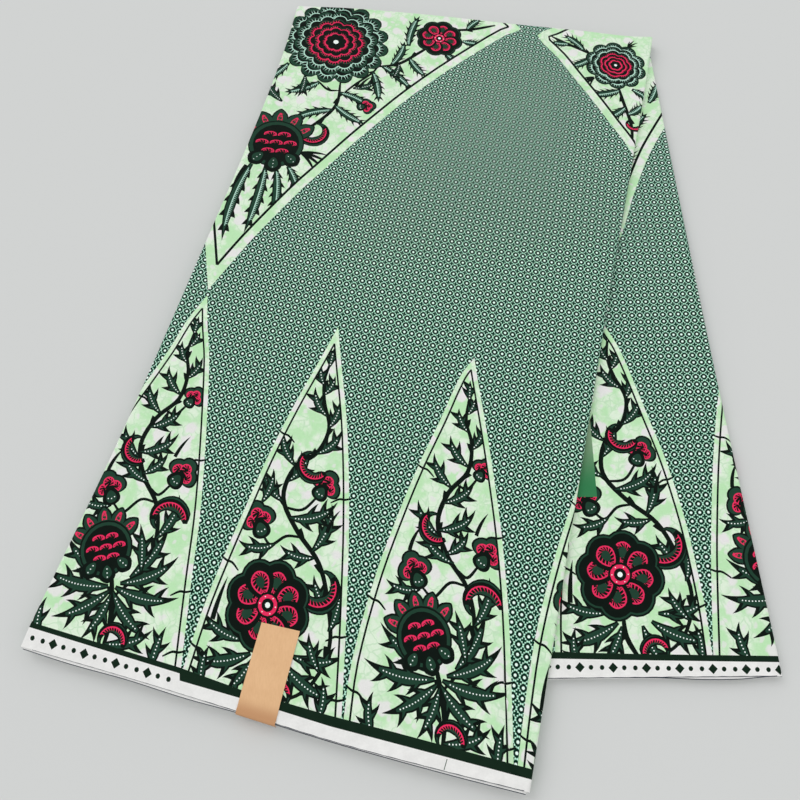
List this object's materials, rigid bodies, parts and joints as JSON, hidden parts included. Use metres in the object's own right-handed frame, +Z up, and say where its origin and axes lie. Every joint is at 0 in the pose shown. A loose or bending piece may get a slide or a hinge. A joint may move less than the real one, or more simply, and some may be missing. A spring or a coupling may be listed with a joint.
{
  "type": "folded wax-print cotton cloth",
  "caption": "Length of printed cotton, doubled at mid-width, pleated and laid flat, with a front leaf, a side leaf fanned out below it, and a plain paper label on its hem.",
  "frame": {"origin": "middle of the bounding box of the flat underside", "axes": "+Z up from the surface that the cloth lies on, +Y from the selvedges to the mid-width fold, +X towards the side leaf"},
  "size_m": [0.4345, 0.6238, 0.0106],
  "materials": {
    "printed_cotton": "matt printed cotton",
    "printed_cotton_side": "matt printed cotton",
    "selvedge_cotton": "matt plain cotton",
    "kraft_paper": "matt paper"
  },
  "bodies": {
    "root": {"front_leaf": "printed_cotton", "front_leaf_under": "selvedge_cotton", "side_leaf": "printed_cotton_side", "side_leaf_under": "selvedge_cotton", "hidden_layers": "selvedge_cotton", "label": "kraft_paper"}
  },
  "joints": []
}
